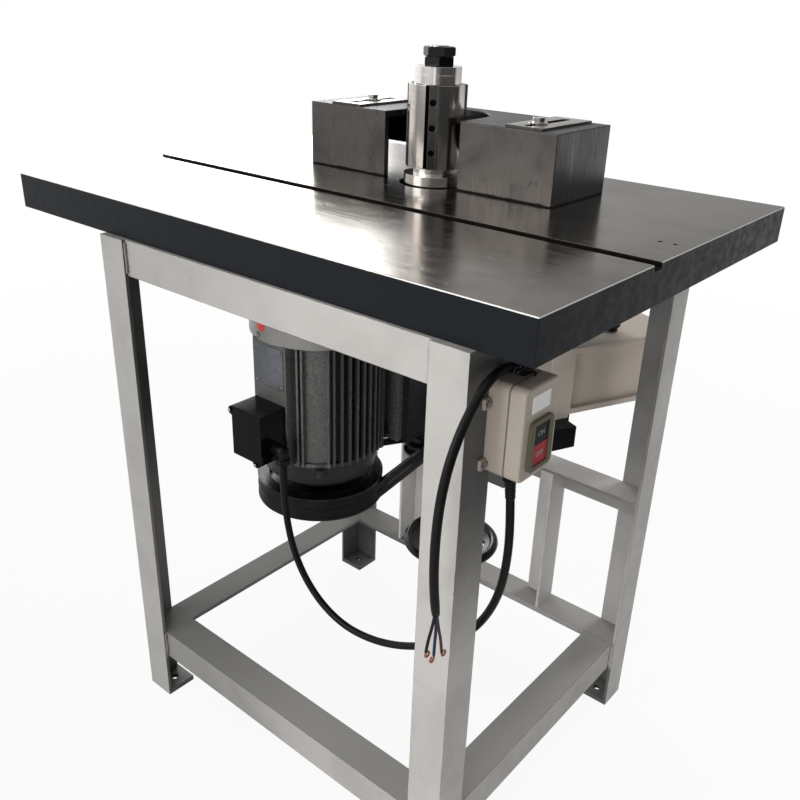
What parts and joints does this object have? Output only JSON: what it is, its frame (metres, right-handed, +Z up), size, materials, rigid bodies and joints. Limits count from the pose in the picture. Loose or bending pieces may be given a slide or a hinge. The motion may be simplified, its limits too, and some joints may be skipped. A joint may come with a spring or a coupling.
{
  "type": "spindle moulder",
  "caption": "Small spindle moulder with a cast table and mitre slot, sliding fence, vertical cutter spindle, belt drive, lift handwheel and push-button switch on an angle-iron stand.",
  "frame": {"origin": "floor, under the centre of the table and stand", "axes": "+Z up, +X along the table, the work is fed along X, the front is towards -Y"},
  "size_m": [0.9, 0.7311, 1.0328],
  "materials": {
    "leg_paint": "silver-grey paint",
    "foot_paint": "thin dark paint",
    "rail_paint": "silver-grey paint",
    "table_iron": "ground top, dark painted sides",
    "zinc_bolt": "zinc plated",
    "bright_bolt": "bright plated",
    "fence_iron": "ground faces, dark sides",
    "black_casting": "black paint",
    "grey_bracket": "grey paint",
    "screw_steel": "oiled steel",
    "wheel_black": "gloss black",
    "nut_brass": "machined",
    "bearing_steel": "ground",
    "cap_steel": "turned",
    "spindle_steel": "ground steel",
    "pulley_iron": "black paint",
    "black_oxide": "black oxide",
    "cutter_steel": "turned bright steel",
    "gib_steel": "milled steel",
    "knife_steel": "ground high-speed steel",
    "belt_rubber": "matt black",
    "hammertone": "hammertone enamel",
    "stator_steel": "varnished laminations",
    "rotor_steel": "turned steel",
    "cover_paint": "grey enamel",
    "fan_plastic": "moulded",
    "terminal_black": "gloss black",
    "gland_black": "moulded",
    "plate_alu": "bare plate",
    "switch_beige": "warm grey enamel",
    "bezel_khaki": "khaki",
    "button_black": "black",
    "button_red": "red",
    "contact_plastic": "moulded",
    "cord_rubber": "black jacket",
    "core_pvc": "three colours",
    "copper": "bare copper strands",
    "box_beige": "beige-grey enamel",
    "black_bar": "black paint",
    "knob_black": "black"
  },
  "bodies": {
    "frame": {"front_legs": "leg_paint", "rear_legs": "leg_paint", "foot_plates": "foot_paint", "top_rail_front": "rail_paint", "top_rail_rear": "rail_paint", "top_side_rails": "rail_paint", "bottom_rail_front": "rail_paint", "bottom_rail_rear": "rail_paint", "bottom_side_rails": "rail_paint", "rear_posts": "rail_paint", "mid_rail": "rail_paint", "table_top": "table_iron", "frame_bolts": "zinc_bolt", "fence_bolts": "bright_bolt", "lift_column": "black_casting", "screw_bracket": "grey_bracket", "switch_base": "switch_beige", "switch_cover": "switch_beige", "switch_bezel": "bezel_khaki", "contact_block": "contact_plastic", "switch_screws": "zinc_bolt", "switch_glands": "gland_black", "supply_cord": "cord_rubber", "supply_cores": "core_pvc", "copper_ends": "copper", "motor_cable": "cord_rubber", "rear_box": "box_beige", "box_mount": "black_bar", "box_knob": "knob_black"},
    "fence": {"fence_casting": "fence_iron"},
    "carriage": {"carriage": "black_casting", "lift_nut": "nut_brass", "spindle_bearings": "bearing_steel", "bearing_caps": "cap_steel", "drive_belts": "belt_rubber", "motor_frame": "hammertone", "motor_bolts": "zinc_bolt", "motor_end_shields": "hammertone", "motor_bearings": "bearing_steel", "stator": "stator_steel", "fan_cover": "cover_paint", "terminal_box": "terminal_black", "terminal_lid": "terminal_black", "terminal_gland": "gland_black", "nameplate": "plate_alu"},
    "spindle": {"spindle_shaft": "spindle_steel", "spindle_pulley": "pulley_iron", "spindle_collars": "spindle_steel", "lock_nuts": "black_oxide", "cutter_block": "cutter_steel", "cutter_gibs": "gib_steel", "cutter_knives": "knife_steel", "cutter_screws": "black_oxide"},
    "rotor": {"rotor_shaft": "rotor_steel", "motor_pulley": "pulley_iron", "cooling_fan": "fan_plastic"},
    "lift_wheel": {"handwheel": "wheel_black", "lead_screw": "screw_steel"},
    "on_push": {"on_button": "button_black"},
    "off_push": {"off_button": "button_red"}
  },
  "joints": [
    {"name": "fence_slide", "type": "slide", "parent": "frame", "child": "fence", "axis": [0, 1, 0], "range_m": [-0.045, 0.022]},
    {"name": "handwheel_turn", "type": "hinge", "parent": "frame", "child": "lift_wheel", "pos_m": [0.088, 0.0795, 0.238], "axis": [0, 0, 1], "range_deg": [-2161, 2881]},
    {"name": "lift", "type": "slide", "parent": "frame", "child": "carriage", "axis": [0, 0, 1], "range_m": [-0.04, 0.03], "deforming": ["motor_cable"]},
    {"name": "rotor_spin", "type": "hinge", "parent": "carriage", "child": "rotor", "pos_m": [-0.031, -0.1195, 0.4], "axis": [0, 0, 1], "continuous": true},
    {"name": "spindle_spin", "type": "hinge", "parent": "carriage", "child": "spindle", "pos_m": [0.007, 0.089, 0.4], "axis": [0, 0, 1], "continuous": true},
    {"name": "on_press", "type": "slide", "parent": "frame", "child": "on_push", "axis": [-1, 0, 0], "range_m": [0, 0.004], "stiffness_N_per_m": 400, "springref_m": -0.001},
    {"name": "off_press", "type": "slide", "parent": "frame", "child": "off_push", "axis": [-1, 0, 0], "range_m": [0, 0.004], "stiffness_N_per_m": 400, "springref_m": -0.001}
  ],
  "couplings": [
    {"joint": "handwheel_turn", "follows": "lift", "rad_per_m": -1256.6},
    {"joint": "spindle_spin", "follows": "rotor_spin", "ratio": 3.44}
  ]
}
